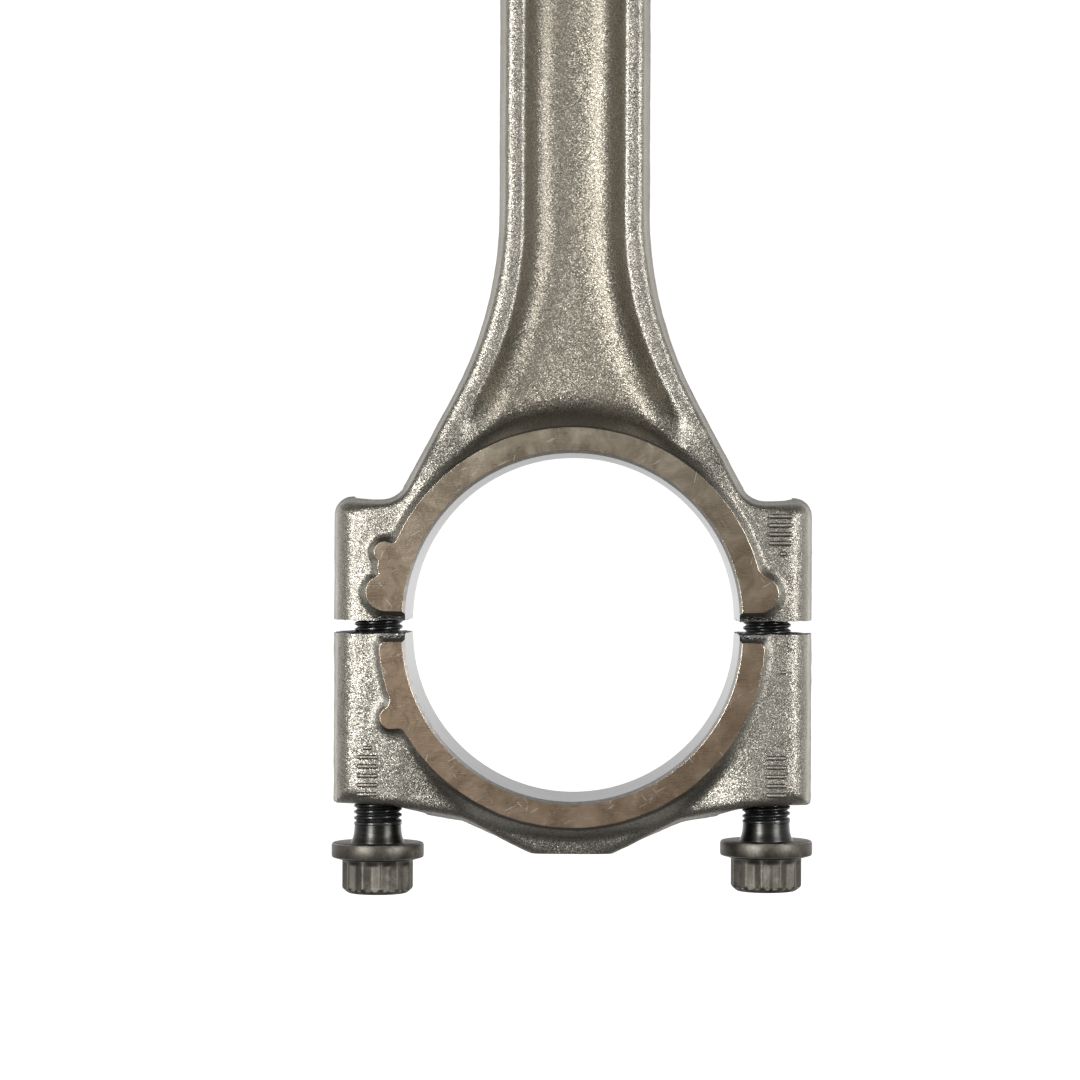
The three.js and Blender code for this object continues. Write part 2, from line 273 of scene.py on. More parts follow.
def rod_maps():
    """The rod's plan distance and front height over a fine grid of its plan."""
    # The sides meet the eye tangentially, at this sine of the angle below its centre.
    sine = 0.636
    cosine = math.sqrt(1 - sine**2)
    touch_x = EYE_RADIUS * cosine
    touch_z = CENTRES - EYE_RADIUS * sine
    neck = touch_z - (touch_x - SHANK_HALF_WIDTH) * cosine / sine
    crest = SHOULDER_TOP + 0.27  # of the shoulder at the parting line, before the draft
    plan_outline = mirrored(
        [
            (HALF_SPAN, -4, 0),
            (HALF_SPAN, crest, 2.9),
            (flare_x(crest, 0), crest, 4.0),
            (SHANK_HALF_WIDTH, FLARE_CORNER, FLARE_RADIUS),
            (SHANK_HALF_WIDTH, neck, 11.5),
            (touch_x, touch_z, 0),
            (touch_x, touch_z + 8, 0),
        ]
    )
    pocket_outline = mirrored(
        [
            (flare_x(22, 4.6), 22, 0),
            (8.1, FLARE_CORNER - 0.6, FLARE_RADIUS - 6),
            (8.1, CENTRES - EYE_RADIUS - 2.5, 5.5),
        ]
    )
    across, up, right, (x, z) = plan_grid(-3.5, CENTRES + EYE_RADIUS + MARGIN)
    plan = both_sides(outline_distance(*right, plan_outline))
    eye = disc_distance(x, z, 0, CENTRES, EYE_RADIUS)
    plan = smooth_min(plan, eye, 1.0)
    pocket = -both_sides(outline_distance(*right, pocket_outline))

    rise = smooth_step(z, 34, 20)
    drop = shoulder_drop(x) * smooth_step(z, 30, 22)
    top = FLANGE_LEVEL + (SHOULDER_LEVEL - FLANGE_LEVEL) * rise - drop
    crown = np.clip(-pocket - 2.0, -2, 2.6) ** 2 * 0.030
    top = top - crown * smooth_step(z, 24, 34)
    hollow = wall(pocket, top, WEB_LEVEL, 8.0, math.radians(24))

    pad = thrust_pad(x, z, THRUST_RADIUS - 0.03, ROD_LOBES)
    pad = smooth_max(pad, PAD_ROOT - z, 1.0)
    corner = smooth_step(np.abs(x), 9.0, 20.0) * smooth_step(z, 39.5, 28.5)
    height = smooth_min(top, hollow + (top - hollow) * corner, CREASE_BLEND)
    eye_wall = wall(eye + 0.3, RAW_PAD_LEVEL, WEB_LEVEL, 5.0, math.radians(18))
    height = smooth_max(height, eye_wall, 1.4)
    beside = smooth_step(z, 27, 20)
    height = smooth_max(height, pad_wall(pad, beside), 3.0 - 2.5 * beside)
    return across, up, plan, height


def cap_maps():
    """The same for the cap, about its own half of the bore."""
    middle = 0.5
    keel = -CAP_DEPTH - 3.0  # the balance pad is cut off above it
    belly_x = 17.9
    belly_slope = 0.45
    plan_outline = mirrored(
        [
            (middle, keel, 0),
            (belly_x, keel + (belly_x - middle) * belly_slope, 5.0),
            (29.4, -SEAT_DEPTH - 1.05, 3.0),
            (HALF_SPAN, -SEAT_DEPTH - 0.45, 0.9),
            (HALF_SPAN, 4, 0),
        ]
    )
    across, up, right, (x, z) = plan_grid(-CAP_DEPTH - 3.5, 3.5)
    plan = both_sides(outline_distance(*right, plan_outline))
    belly = 2.9 * smooth_step(np.abs(x), 29, 15)
    round_rim = 0.05 * np.maximum(np.hypot(x, z) - THRUST_RADIUS - 1.2, 0) ** 2
    round_rim = round_rim * smooth_step(np.abs(x), 26, 15)
    height = SHOULDER_LEVEL - shoulder_drop(x) - belly - round_rim
    pad = thrust_pad(x, z, THRUST_RADIUS, CAP_LOBES)
    pad = smooth_max(pad, z + PAD_ROOT, 1.4)
    beside = 0.4 + 0.6 * smooth_step(z, -34, -22)
    height = smooth_max(height, pad_wall(pad, beside), 0.8)
    return across, up, plan, height


def pad_wall(pad, beside):
    """Wall round a thrust face: short and leaning beside the shoulders, steep and tall elsewhere."""
    step = PAD_FOOT_LEVEL + (WEB_LEVEL - PAD_FOOT_LEVEL) * (1 - beside)
    lean = np.radians(19 + 22 * beside)
    # The wall's top edge is at the ground face, so the raw pad above it is set back by the lean.
    back = (RAW_PAD_LEVEL - BIG_END_HALF_WIDTH) * np.tan(lean)
    return wall(pad + back, RAW_PAD_LEVEL, step, 6.3 - 5.9 * beside, lean)


class Forging:
    """A solid given by its plan distance and front height, the same on its front and back."""

    def __init__(self, maps):
        self.across, self.up, plan, height = maps
        slope_x, slope_z = np.gradient(height, MAP_STEP)
        ease = 1 / np.sqrt(1 + slope_x**2 + slope_z**2)
        soft = EDGE_BLEND + BOSS_BLEND * smooth_step(np.abs(self.across), 31, 37)
        soft = np.broadcast_to(soft[:, None], plan.shape)
        draft = DRAFT * (0.25 + 0.75 * smooth_step(self.up, -35.5, -30))
        draft = np.broadcast_to(draft, plan.shape)
        self.layers = np.stack([plan, height, ease, soft, draft], -1)

    def look_up(self, x, z):
        """The layers at points of the plan, between the grid's own."""
        i = (x - self.across[0]) / MAP_STEP
        k = (z - self.up[0]) / MAP_STEP
        i0 = np.clip(i.astype(int), 0, len(self.across) - 2)
        k0 = np.clip(k.astype(int), 0, len(self.up) - 2)
        u = np.clip(i - i0, 0, 1)[..., None]
        v = np.clip(k - k0, 0, 1)[..., None]
        low = self.layers[i0, k0] * (1 - v) + self.layers[i0, k0 + 1] * v
        high = self.layers[i0 + 1, k0] * (1 - v) + self.layers[i0 + 1, k0 + 1] * v
        return np.moveaxis(low * (1 - u) + high * u, -1, 0)

    @staticmethod
    def blend(y, plan, height, ease, soft, draft):
        """The field at a depth: negative inside the solid, zero on its surface."""
        depth = np.abs(y)
        flash = FLASH * np.exp(-((y / FLASH_HALF_WIDTH) ** 4))
        side = plan + draft * np.maximum(depth - FLASH_HALF_WIDTH, 0) - flash
        return smooth_max(side, (depth - height) * ease, soft)

    def field(self, points):
        return self.blend(points[:, 1], *self.look_up(points[:, 0], points[:, 2]))

    def grid(self):
        """The field over a regular grid, with the grid's corner."""
        pad = 2 * CELL
        xs = np.arange(self.across[0] + CELL / 3, self.across[-1], CELL)
        ys = np.arange(-RAW_PAD_LEVEL - pad, RAW_PAD_LEVEL + pad, CELL)
        zs = np.arange(self.up[0] + CELL / 3, self.up[-1], CELL)
        x, z = np.meshgrid(xs, zs, indexing="ij")
        layers = [layer[:, None, :] for layer in self.look_up(x, z)]
        values = self.blend(ys[None, :, None], *layers)
        return values, np.array([xs[0], ys[0], zs[0]])

    def slope(self, points):
        """How steeply the field grows along each axis."""
        step = 0.02
        result = np.empty_like(points)
        for axis in range(3):
            nudge = np.zeros(3)
            nudge[axis] = step
            gain = self.field(points + nudge) - self.field(points - nudge)
            result[:, axis] = gain / (2 * step)
        return result

    def surface(self, broad, fine):
        """Closed mesh of the solid, with a forging's lumps: broad and fine are their heights."""
        values, corner = self.grid()
        rim = np.ones(values.shape, bool)
        rim[1:-1, 1:-1, 1:-1] = False
        values[rim] = np.maximum(values[rim], CELL)
        points, quads = surface_net(values, corner)
        for _ in range(4):
            slope = self.slope(points)
            size = np.maximum((slope**2).sum(1), 0.2)
            move = np.clip(self.field(points) / size, -CELL / 2, CELL / 2)
            points -= slope * move[:, None]
        normal = slope / np.linalg.norm(slope, axis=1)[:, None]
        lumps = broad * value_noise(points, 2.6) + fine * value_noise(points, 1.05)
        return points + normal * lumps[:, None], quads


def surface_net(values, corner):
    """Vertices and outward quads of the surface where the grid's values pass through zero."""
    inside = values < 0
    core = tuple(n - 1 for n in values.shape)
    filled = np.zeros(core, np.int8)
    for i, j, k in np.ndindex(2, 2, 2):
        filled += inside[i : i + core[0], j : j + core[1], k : k + core[2]]
    active = (filled > 0) & (filled < 8)
    cells = np.argwhere(active)
    number = np.full(core, -1, np.int64)
    number[active] = np.arange(len(cells))
    total = np.zeros((len(cells), 3))
    count = np.zeros(len(cells))
    quads = []
    for axis in range(3):
        u, v = (axis + 1) % 3, (axis + 2) % 3
        for du, dv in np.ndindex(2, 2):
            start = cells.copy()
            start[:, u] += du
            start[:, v] += dv
            end = start.copy()
            end[:, axis] += 1
            a, b = values[tuple(start.T)], values[tuple(end.T)]
            crosses = (a < 0) != (b < 0)
            crossing = start.astype(float)
            crossing[:, axis] += np.where(crosses, a / np.where(crosses, a - b, 1), 0)
            total += crossing * crosses[:, None]
            count += crosses
        near = [slice(1, -1)] * 3
        far = [slice(1, -1)] * 3
        near[axis], far[axis] = slice(0, -1), slice(1, None)
        change = inside[tuple(near)] != inside[tuple(far)]
        nodes = np.argwhere(change) + 1
        nodes[:, axis] -= 1
        leaving = inside[tuple(nodes.T)]
        step_u, step_v = np.eye(3, dtype=int)[u], np.eye(3, dtype=int)[v]
        ring = [nodes - step_u - step_v, nodes - step_v, nodes, nodes - step_u]
        quad = np.stack([number[tuple(r.T)] for r in ring], 1)
        quad[~leaving] = quad[~leaving, ::-1]
        quads.append(quad)
    return corner + CELL * total / count[:, None], np.concatenate(quads)


NOISE_TABLE = rng.uniform(-1, 1, (NOISE_CELLS, NOISE_CELLS, NOISE_CELLS))


def value_noise(points, size):
    """Smooth random values between -1 and 1, with features of about that size."""
    spot = points / size + NOISE_SHIFT
    cell = np.floor(spot).astype(int)
    t = spot - cell
    t = t * t * (3 - 2 * t)
    result = np.zeros(len(points))
    for i, j, k in np.ndindex(2, 2, 2):
        corner = (cell + [i, j, k]) % NOISE_CELLS
        weight = np.prod(np.where([i, j, k], t, 1 - t), axis=1)
        result += weight * NOISE_TABLE[corner[:, 0], corner[:, 1], corner[:, 2]]
    return result


# ---- meshes and cuts, in millimetres
def mesh_object(name, points, faces):
    mesh = bpy.data.meshes.new(name)
    mesh.from_pydata(np.asarray(points, float).tolist(), [], [list(map(int, f)) for f in faces])
    mesh.validate()
    mesh.update()
    obj = bpy.data.objects.new(name, mesh)
    bpy.context.scene.collection.objects.link(obj)
    return obj


def combine(target, tool, operation):
    """Cuts, joins or trims target with tool, and drops the tool."""
    step = target.modifiers.new("combine", "BOOLEAN")
    step.operation = operation
    step.solver = "MANIFOLD"
    step.object = tool
    graph = bpy.context.evaluated_depsgraph_get()
    result = bpy.data.meshes.new_from_object(target.evaluated_get(graph))
    target.modifiers.clear()
    spent = target.data, tool.data
    target.data = result
    bpy.data.objects.remove(tool)
    for mesh in spent:
        bpy.data.meshes.remove(mesh)
    if not len(target.data.polygons):
        raise RuntimeError(f"{target.name} came out empty after {operation}")
    return target


def cut(target, tool):
    return combine(target, tool, "DIFFERENCE")


def join(target, tool):
    return combine(target, tool, "UNION")


def trim(target, tool):
    return combine(target, tool, "INTERSECT")


def box_tool(low, high):
    """A box between two opposite corners."""
    x0, y0, z0 = low
    x1, y1, z1 = high
    points = [(x, y, z) for x in (x0, x1) for y in (y0, y1) for z in (z0, z1)]
    faces = [(0, 1, 3, 2), (4, 6, 7, 5), (0, 4, 5, 1), (2, 3, 7, 6), (0, 2, 6, 4), (1, 5, 7, 3)]
    return mesh_object("tool", points, faces)


def stack(rings):
    """Points and faces of a closed solid through rings with the same number of points each."""
    count = len(rings[0])
    points = np.concatenate(rings + [rings[0].mean(0)[None], rings[-1].mean(0)[None]])
    start, end = len(rings) * count, len(rings) * count + 1
    i = np.arange(count)
    j = (i + 1) % count
    faces = [np.stack([np.full(count, start), j, i], 1).tolist()]
    for r in range(len(rings) - 1):
        a, b = r * count, (r + 1) * count
        faces.append(np.stack([a + i, a + j, b + j, b + i], 1).tolist())
    last = (len(rings) - 1) * count
    faces.append(np.stack([np.full(count, end), last + i, last + j], 1).tolist())
    return points, [f for group in faces for f in group]


def turned(name, profile, around, radius_at=None):
    """A solid turned about Z through (radius, height) pairs, its radius optionally varied."""
    angle = np.linspace(0, 2 * math.pi, around, endpoint=False)
    rings = []
    for radius, height in profile:
        r = np.full(around, float(radius))
        if radius_at is not None:
            r = radius_at(r, angle, height)
        rings.append(np.stack([r * np.cos(angle), r * np.sin(angle), np.full(around, height)], 1))
    return mesh_object(name, *stack(rings))


def place(obj, matrix):
    """Moves the mesh itself, so that the object stays at the origin."""
    obj.data.transform(matrix)
    return obj


def crosswise_tool(profile, centre_z, around=256):
    """A tool turned about a line along Y, through (radius, y) pairs."""
    tool = turned("tool", profile, around)
    turn = Matrix.Rotation(math.radians(90), 4, "X")
    return place(tool, Matrix.Translation((0, 0, centre_z)) @ turn)


def bore_tool(radius, half_width, chamfer, centre_z):
    """A bore along Y with 45 degree chamfers, which carry on past both faces."""
    past = 8
    reach = half_width + past
    wide = radius + chamfer + past
    edge = half_width - chamfer
    profile = [(wide, -reach), (radius, -edge), (radius, edge), (wide, reach)]
    return crosswise_tool(profile, centre_z)


def wedge_tool(inset):
    """What lies between the small end's two sloping faces. It is wider than the rod below them."""
    below, above = 12.0, 60.0
    lower = EYE_HALF_WIDTH - inset
    levels = [-90.0, CENTRES - EYE_RADIUS - below, CENTRES + above]
    halves = [40.0, lower + below * EYE_SLOPE, lower - EYE_SLOPE * (above + EYE_RADIUS)]
    rings = []
    for level, half in zip(levels, halves):
        corners = ((-FAR, -half), (FAR, -half), (FAR, half), (-FAR, half))
        rings.append(np.array([(x, y, level) for x, y in corners]))
    return mesh_object("tool", *stack(rings))


def fracture_tool(side):
    """The rough surface of the crack, closed off far above it (side 1) or far below it (side -1)."""
    half_x, half_y, reach = 44, 16, 200.0
    xs = np.arange(-half_x, half_x + CRACK_STEP, CRACK_STEP)
    ys = np.arange(-half_y, half_y + CRACK_STEP, CRACK_STEP)
    x, y = np.meshgrid(xs, ys, indexing="ij")
    flat = np.stack([x.ravel(), y.ravel(), np.zeros(x.size)], 1)
    rough = flat.copy()
    for height, size, shift in CRACK_GRAIN:
        rough[:, 2] += height * value_noise(flat + shift, size)
    far = flat + [0, 0, side * reach]
    index = np.arange(x.size).reshape(x.shape)
    quads = np.stack([index[:-1, :-1], index[1:, :-1], index[1:, 1:], index[:-1, 1:]], -1)
    quads = quads.reshape(-1, 4)
    rim = np.concatenate([index[:-1, 0], index[-1, :-1], index[:0:-1, -1], index[0, :0:-1]])
    after = np.roll(rim, -1)
    walls = np.stack([rim, rim + x.size, after + x.size, after], 1)
    faces = np.concatenate([quads, quads[:, ::-1] + x.size, walls])
    if side > 0:
        faces = faces[:, ::-1]
    return mesh_object("tool", np.concatenate([rough, far]), faces)


def bar(start, end, radius):
    """A small round-ended raised bar between two points of a face that looks along -Y."""
    start, end = np.array(start, float), np.array(end, float)
    along = (end - start) / np.linalg.norm(end - start)
    side = np.cross(along, [0, 1, 0])
    rings = []
    angle = np.linspace(0, 2 * math.pi, 16, endpoint=False)
    for turn in np.linspace(-90, 90, 9)[1:-1]:
        here = start if turn <= 0 else end
        t = math.radians(turn)
        centre = here + along * radius * math.sin(t)
        across = radius * math.cos(t)
        ring = centre + across * (np.outer(np.cos(angle), side) + np.outer(np.sin(angle), [0, 1, 0]))
        rings.append(ring)
        if turn == 0:
            rings.append(ring + (end - start))
    points, faces = stack(rings)
    # The rings run clockwise about the bar, so the faces are turned round to look outwards.
    return mesh_object("tool", points, [f[::-1] for f in faces])


# ---- the pieces
def thread_wave(height, angle):
    """0 at the thread's crest and 1 at its root."""
    turn = (height / THREAD_PITCH - angle / (2 * math.pi)) % 1.0
    return smooth_step(np.abs(2 * turn - 1), 0.15, 0.95)


def threaded_hole_tool(x):
    """Running clearance for the bolt, with shallow grooves outside it."""
    rows = np.arange(-3.0, SHOULDER_TOP - 0.3, 0.12)

    def radius_at(r, angle, height):
        return r + TAPPED_GROOVE * thread_wave(height + THREAD_PITCH / 2, angle)

    return hole_tool(x, [(TAPPED_RADIUS, h) for h in rows], 40, radius_at)


def hole_tool(x, profile, around=64, radius_at=None):
    """A hole along Z through (radius, height) pairs."""
    tool = turned("tool", profile, around, radius_at)
    return place(tool, Matrix.Translation((x, 0, 0)))


def mark_column(left, right, lowest, spacing, count):
    """Level bars one above another, each as (left, right, height)."""
    return [(left, right, lowest + spacing * i) for i in range(count)]


def raised_marks(target, marks):
    """Plain level bars on a shoulder's front, as a die leaves them."""
    for left, right, height in marks:
        start, end = ((x, -shoulder_front(x), height) for x in (left, right))
        join(target, bar(start, end, MARK_RADIUS))


def shoulder_front(x):
    """How far out a mark's middle lies: just under the surface."""
    return SHOULDER_LEVEL - shoulder_drop(x) - 0.02


def thrust_slab(low, high):
    """What lies between the ground faces, between two heights."""
    return box_tool((-FAR, -BIG_END_HALF_WIDTH, low), (FAR, BIG_END_HALF_WIDTH, high))


def build_rod():
    rod = mesh_object("rod_forging", *Forging(rod_maps()).surface(0.035, 0.026))
    raised_marks(rod, mark_column(32.0, 35.2, 12.6, 1.45, 4) + [(33.8, 34.1, 10.9)])
    trim(rod, thrust_slab(-20, 200))
    trim(rod, wedge_tool(0.0))
    trim(rod, fracture_tool(1))
    cut(rod, bore_tool(BORE_RADIUS, BIG_END_HALF_WIDTH, BORE_CHAMFER, 0))
    cut(rod, bore_tool(EYE_BORE_RADIUS, EYE_BORE_HALF_WIDTH, EYE_CHAMFER, CENTRES))
    plain = [(TAPPED_RADIUS, 12.0), (TAPPED_RADIUS, SHOULDER_TOP + 4)]
    for x in BOLT_X.values():
        cut(rod, threaded_hole_tool(x))
        cut(rod, hole_tool(x, plain))
    return without_empty_faces(rod)


def build_cap():
    cap = mesh_object("cap_forging", *Forging(cap_maps()).surface(0.05, 0.042))
    raised_marks(cap, mark_column(-34.4, -31.7, -26.0, 1.5, 5) + [(-33.4, -32.6, -18.5)])
    raised_marks(cap, mark_column(31.7, 34.3, -25.9, 1.5, 5) + [(34.1, 34.4, -6.0)])
    trim(cap, thrust_slab(-CAP_DEPTH, 20))
    seat = [(SPOT_FACE_RADIUS, -FAR), (SPOT_FACE_RADIUS, -SEAT_DEPTH)]
    for x in BOLT_X.values():
        cut(cap, hole_tool(x, seat, 96))
    trim(cap, fracture_tool(-1))
    cut(cap, bore_tool(BORE_RADIUS, BIG_END_HALF_WIDTH, BORE_CHAMFER, 0))
    below = 3
    through = [
        (CAP_HOLE_RADIUS + CAP_HOLE_MOUTH + below, -SEAT_DEPTH - below),
        (CAP_HOLE_RADIUS, -SEAT_DEPTH + CAP_HOLE_MOUTH),
        (CAP_HOLE_RADIUS, 6),
    ]
    for x in BOLT_X.values():
        cut(cap, hole_tool(x, through))
    return without_empty_faces(cap)


def build_bush():
    wide = EYE_HALF_WIDTH + 3
    outer = EYE_BORE_RADIUS - PRESS_GAP
    bush = crosswise_tool([(outer, -wide), (outer, wide)], CENTRES, 192)
    bush.name = bush.data.name = "bush"
    trim(bush, wedge_tool(BUSH_RECESS))
    cut(bush, bore_tool(PIN_RADIUS, BUSH_BORE_HALF_WIDTH, BUSH_CHAMFER, CENTRES))
    return without_empty_faces(bush)


def star_radius(angle):
    """Outline of two hexagons 30 degrees apart."""
    sixth = math.pi / 3
    first = HEAD_APOTHEM / np.cos((angle + sixth / 2) % sixth - sixth / 2)
    second = HEAD_APOTHEM / np.cos(angle % sixth - sixth / 2)
    return np.maximum(first, second)


def head_radius(r, angle, height):
    """The head's radius: the star with softened points, running out into a round root."""
    root = 5.85
    spread = [star_radius(angle + a) for a in np.radians([-1.4, 0, 1.4])]
    star = np.mean(spread, 0)
    runout = smooth_step(height, -FLANGE_THICKNESS - 1.15, -FLANGE_THICKNESS - 0.15)
    return np.minimum(r, star + (root - star) * runout)


def shank_radius(r, angle, height):
    """The radius along the neck, which is plain, and the thread, which tapers at its end."""
    if height < NECK_LENGTH - 1e-6:
        return r
    start = smooth_step(height, NECK_LENGTH, NECK_LENGTH + 0.8)
    limit = r[0] - THREAD_DEPTH * thread_wave(height, angle) * start
    taper = THREAD_TOP - max(height - (BOLT_LENGTH - 1.6), 0) * 0.62
    return np.minimum(limit, taper)


def build_shank(name):
    """The bolt's neck and thread, up from the flange's seat, with a root inside the flange."""
    rows = np.arange(NECK_LENGTH, BOLT_LENGTH + 1e-6, 0.1)
    profile = [(3.4, -1.5), (4.4, -0.6), (4.38, 0.0), (4.3, 0.3)]
    profile += [(4.1, 0.8), (3.95, 1.5), (3.88, 2.2), (3.85, 2.9)]
    profile += [(THREAD_TOP, h) for h in rows]
    return turned(name, profile, 48, shank_radius)


def flange_tool():
    low = -FLANGE_THICKNESS
    rim = FLANGE_RADIUS
    profile = [(rim - 1.4, low - 0.25), (rim - 0.45, low), (rim - 0.12, low + 0.12)]
    profile += [(rim, low + 0.42), (rim, -0.4), (rim - 0.12, -0.12), (rim - 0.4, 0.0)]
    return turned("tool", profile, 128)


def head_tool(end):
    """The twelve-point head from its rounded end up into the flange."""
    low = -FLANGE_THICKNESS
    widest = 6.2  # outside the star, which sets the radius there
    profile = [(4.55, end), (4.8, end + 0.05), (5.05, end + 0.2), (5.6, end + 0.62)]
    profile += [(5.9, end + 0.95)]
    profile += [(widest, h) for h in np.linspace(end + 1.1, low - 1.2, 6)]
    profile += [(widest, h) for h in np.linspace(low - 1.05, low + 0.3, 10)]
    return turned("tool", profile, 192, head_radius)


def build_bolt(side):
    end = -FLANGE_THICKNESS - HEAD_HEIGHT
    bolt = build_shank(f"{side}_bolt")
    join(bolt, flange_tool())
    join(bolt, head_tool(end))
    dish = [(3.7, end - 1), (3.25, end), (2.9, end + 0.4), (2.6, end + 0.5)]
    cut(bolt, turned("tool", dish, 64))
    turn = Matrix.Rotation(math.radians(BOLT_TURN[side]), 4, "Z")
    return without_empty_faces(place(bolt, turn))


# ---- finishing the meshes
def without_empty_faces(obj):
    """Removes points that only divide an edge, and faces of no area, which the cuts leave behind."""
    shape = bmesh.new()
    shape.from_mesh(obj.data)
    spare = [point for point in shape.verts if len(point.link_edges) == 2]
    bmesh.ops.dissolve_verts(shape, verts=spare)
    bmesh.ops.triangulate(shape, faces=[face for face in shape.faces if len(face.verts) > 4])
    bmesh.ops.dissolve_degenerate(shape, dist=1e-4, edges=shape.edges[:])
    shape.to_mesh(obj.data)
    shape.free()
    return obj


def face_data(mesh):
    """Middles and normals of the mesh's faces."""
    count = len(mesh.polygons)
    centre = np.empty(count * 3)
    normal = np.empty(count * 3)
    mesh.polygons.foreach_get("center", centre)
    mesh.polygons.foreach_get("normal", normal)
    return centre.reshape(-1, 3), normal.reshape(-1, 3)


def paint(obj, materials, numbers, round_faces):
    """Gives each face its material by number, and smooths the faces of the round surfaces."""
    mesh = obj.data
    mesh.materials.clear()
    for material in materials:
        mesh.materials.append(material)
    mesh.polygons.foreach_set("material_index", np.asarray(numbers, np.int32))
    mesh.polygons.foreach_set("use_smooth", np.ones(len(mesh.polygons), bool))
    mesh.update()
    mesh.set_sharp_from_angle(angle=math.radians(34))
    mesh.polygons.foreach_set("use_smooth", np.asarray(round_faces, bool))
    mesh.update()


def settle(obj, lift):
    """From millimetres about the crank pin to metres in the row's frame."""
    place(obj, Matrix.Scale(MM, 4) @ Matrix.Translation((0, 0, AXIS_HEIGHT + lift)))


FORGED, THRUST, BORED, CHAMFERED, CRACKED, DRILLED, MILLED = range(7)


def forging_faces(mesh, side, feet):
    """Which finish each face has, on the rod (side 1) or the cap (side -1), with its feet's levels."""
    centre, normal = face_data(mesh)
    x, y, z = centre.T
    kind = np.full(len(x), FORGED)
    along = np.abs(normal[:, 1])
    for radius, middle in ((BORE_RADIUS, 0.0), (EYE_BORE_RADIUS, CENTRES)):
        r = np.hypot(x, z - middle)
        inward = -(normal[:, 0] * x + normal[:, 2] * (z - middle)) / np.maximum(r, 1e-9)
        kind[(np.abs(r - radius) < 0.05) & (inward > 0.9)] = BORED
        kind[(r < radius + 1.0) & (inward > 0.6) & (along > 0.6)] = CHAMFERED
    kind[(np.abs(y) > BIG_END_HALF_WIDTH - 0.02) & (along > 0.999)] = THRUST
    face = EYE_HALF_WIDTH - EYE_SLOPE * (z - CENTRES + EYE_RADIUS)
    kind[(z > CENTRES - 30) & (np.abs(np.abs(y) - face) < 0.02) & (along > 0.98)] = THRUST
    from_bolt = x - np.sign(x) * BOLT_OFFSET
    hole = np.hypot(from_bolt, y)
    inward = -(normal[:, 0] * from_bolt + normal[:, 1] * y) / np.maximum(hole, 1e-9)
    kind[(hole < 5.2) & (inward > 0.3) & (kind == FORGED)] = DRILLED
    for level in feet:
        kind[(np.abs(z - level) < 0.02) & (normal[:, 2] < -0.99)] = MILLED
    at_crack = (side * z < 0.6) & (np.abs(x) > BORE_RADIUS - 0.5)
    kind[at_crack & (side * normal[:, 2] < -0.4) & (kind != DRILLED)] = CRACKED
    return kind


def finish_forging(forging, looks, side, feet, lift):
    kind = forging_faces(forging.data, side, feet)
    paint(forging, looks, kind, (kind != THRUST) & (kind != MILLED))
    settle(forging, lift)


def finish_bush(bush, looks):
    centre, normal = face_data(bush.data)
    r = np.hypot(centre[:, 0], centre[:, 2] - CENTRES)
    paint(bush, looks, np.where(r < PIN_RADIUS + 0.05, 1, 0), np.abs(normal[:, 1]) < 0.9)
    settle(bush, 0)


def finish_bolt(bolt, side, looks):
    height = face_data(bolt.data)[0][:, 2]
    threaded = height > NECK_LENGTH - 0.05
    neck = (height > 0.02) & ~threaded
    paint(bolt, looks, np.where(threaded, 2, np.where(neck, 1, 0)), np.ones(len(height)))
    place(bolt, Matrix.Translation((BOLT_X[side], 0, 0)))
    settle(bolt, -SPLIT_GAP - SEAT_DEPTH - BACKED_OUT[side])


